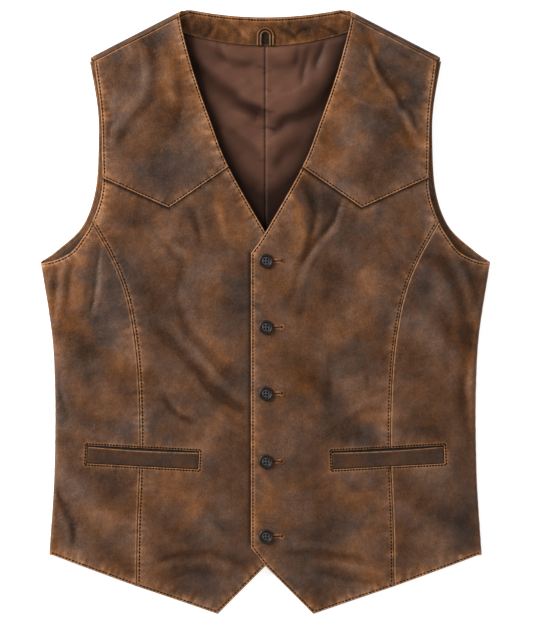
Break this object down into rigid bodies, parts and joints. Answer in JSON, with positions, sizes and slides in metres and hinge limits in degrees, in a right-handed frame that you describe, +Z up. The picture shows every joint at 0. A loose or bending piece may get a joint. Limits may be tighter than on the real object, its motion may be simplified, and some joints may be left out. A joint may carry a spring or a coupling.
{
  "type": "vest",
  "caption": "Men's V-neck leather vest with pointed front yokes, welt pockets and a buttoned front, laid flat face up.",
  "frame": {"origin": "middle of the footprint, on the surface that the vest lies on", "axes": "+Z up from that surface, +X towards the wearer's left, +Y from the hem towards the neck"},
  "size_m": [0.499, 0.671, 0.0183],
  "materials": {
    "front_leather": "distressed brown leather with a soft waxed sheen and worn, lighter edges",
    "back_leather": "the same distressed brown leather",
    "welt_leather": "darker brown leather",
    "facing_leather": "smooth brown leather",
    "lining_satin": "brown satin with a soft sheen",
    "pocket_cloth": "dark matt cotton",
    "button_horn": "polished dark horn look"
  },
  "bodies": {
    "root": {"back": "back_leather", "lining_left": "lining_satin", "lining_right": "lining_satin", "neck_facing": "facing_leather", "hanger_loop": "facing_leather", "yoke_left": "front_leather", "front_left": "front_leather", "side_left": "front_leather", "welt_left": "welt_leather", "pocket_bag_left": "pocket_cloth", "yoke_right": "front_leather", "front_right": "front_leather", "side_right": "front_leather", "welt_right": "welt_leather", "pocket_bag_right": "pocket_cloth", "button_1": "button_horn", "button_2": "button_horn", "button_3": "button_horn", "button_4": "button_horn", "button_5": "button_horn"}
  },
  "joints": []
}
